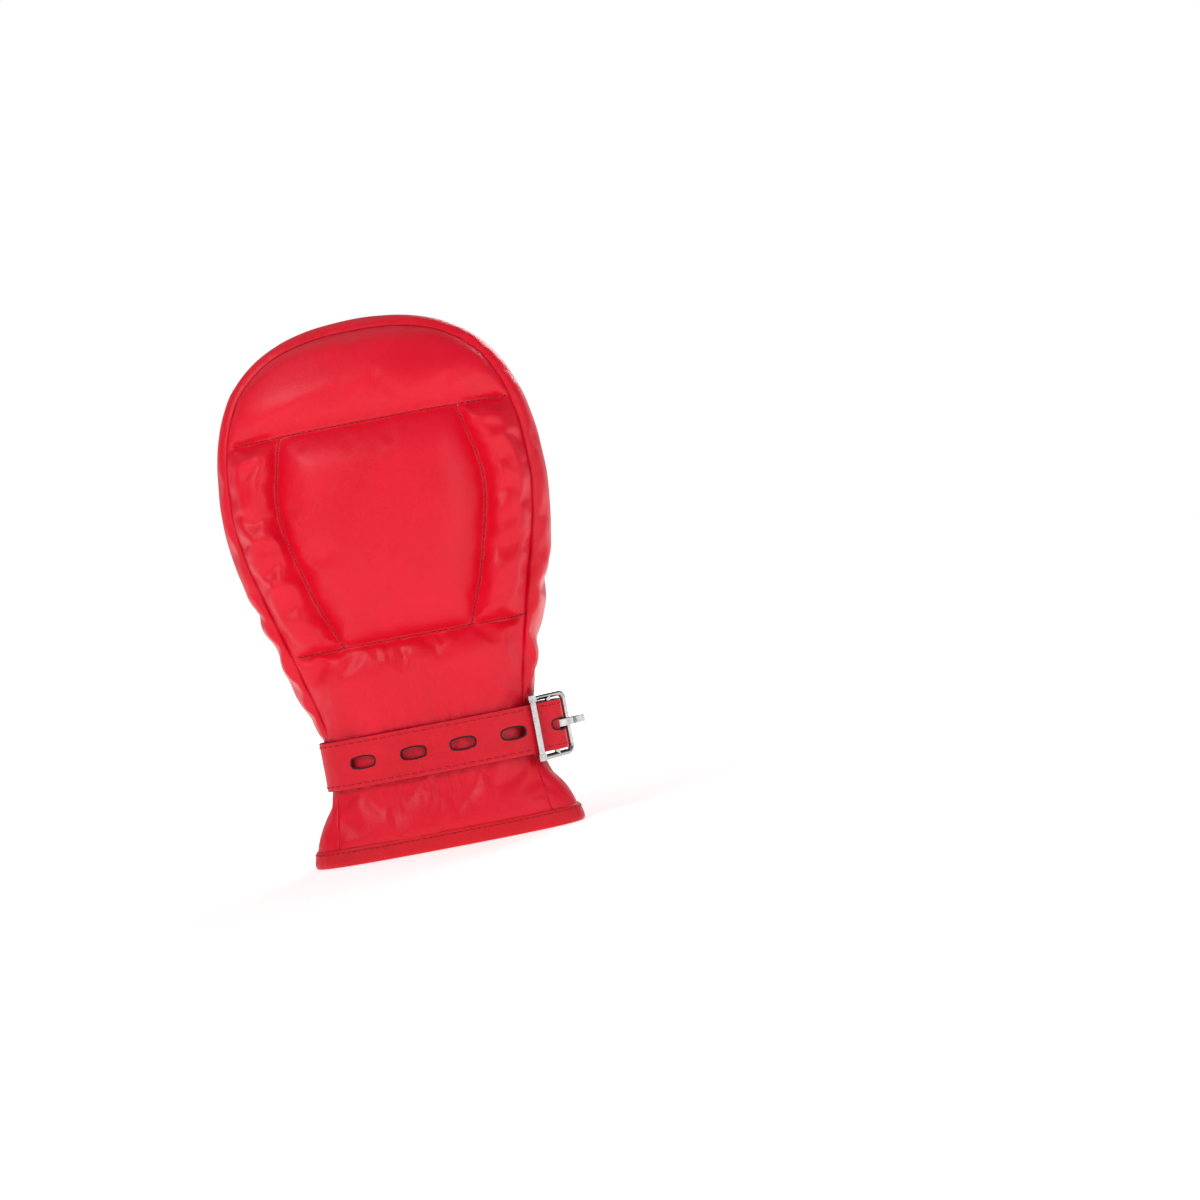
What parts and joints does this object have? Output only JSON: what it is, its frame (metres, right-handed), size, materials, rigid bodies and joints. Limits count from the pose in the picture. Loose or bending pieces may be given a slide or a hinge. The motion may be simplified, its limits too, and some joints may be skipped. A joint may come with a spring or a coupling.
{
  "type": "padded fist mitt",
  "caption": "Quilted, padded fist mitt for hand protection, hollow for a closed hand, with a locking roller-buckle wrist strap and a D-ring.",
  "frame": {"origin": "centre of the cuff's rim, on the plane that the mitt stands on when upright", "axes": "+Z from the open cuff to the fingertips, +Y from the front face to the back face, +X to the buckle's side"},
  "size_m": [0.1696, 0.085, 0.276],
  "materials": {
    "red_leather": "satin",
    "strap_leather": "satin",
    "wadding": "matte",
    "lining": "matte",
    "nickel": "polished"
  },
  "bodies": {
    "mitt": {"front_panel": "red_leather", "back_panel": "red_leather", "side_gusset": "red_leather", "gusset_wadding": "wadding", "hand_lining": "lining", "cuff_binding": "red_leather", "front_wrist_pad": "wadding", "front_left_channel_pad": "wadding", "front_palm_pad": "wadding", "front_right_channel_pad": "wadding", "front_finger_pad": "wadding", "back_wrist_pad": "wadding", "back_left_channel_pad": "wadding", "back_palm_pad": "wadding", "back_right_channel_pad": "wadding", "back_finger_pad": "wadding", "wrist_strap": "strap_leather", "buckle_frame": "nickel", "buckle_centre_bar": "nickel", "roller_axle": "nickel", "rivet_posts": "nickel", "rivet_caps": "nickel", "front_cuff_pad": "wadding", "back_cuff_pad": "wadding"},
    "roller": {"buckle_roller": "nickel"},
    "prong": {"locking_prong": "nickel"},
    "ring": {"d_ring": "nickel"}
  },
  "joints": [
    {"name": "roller_spin", "type": "hinge", "parent": "mitt", "child": "roller", "pos_m": [0.05583, -0.01875, 0.0513], "axis": [0, 0, 1], "continuous": true},
    {"name": "prong_swing", "type": "hinge", "parent": "mitt", "child": "prong", "pos_m": [0.0635, -0.008, 0.0513], "axis": [0, 0, -1], "range_deg": [0, 60]},
    {"name": "ring_swing", "type": "hinge", "parent": "mitt", "child": "ring", "pos_m": [-0.002, 0.0284, 0.0513], "axis": [0, 0, -1], "range_deg": [0, 145]}
  ]
}
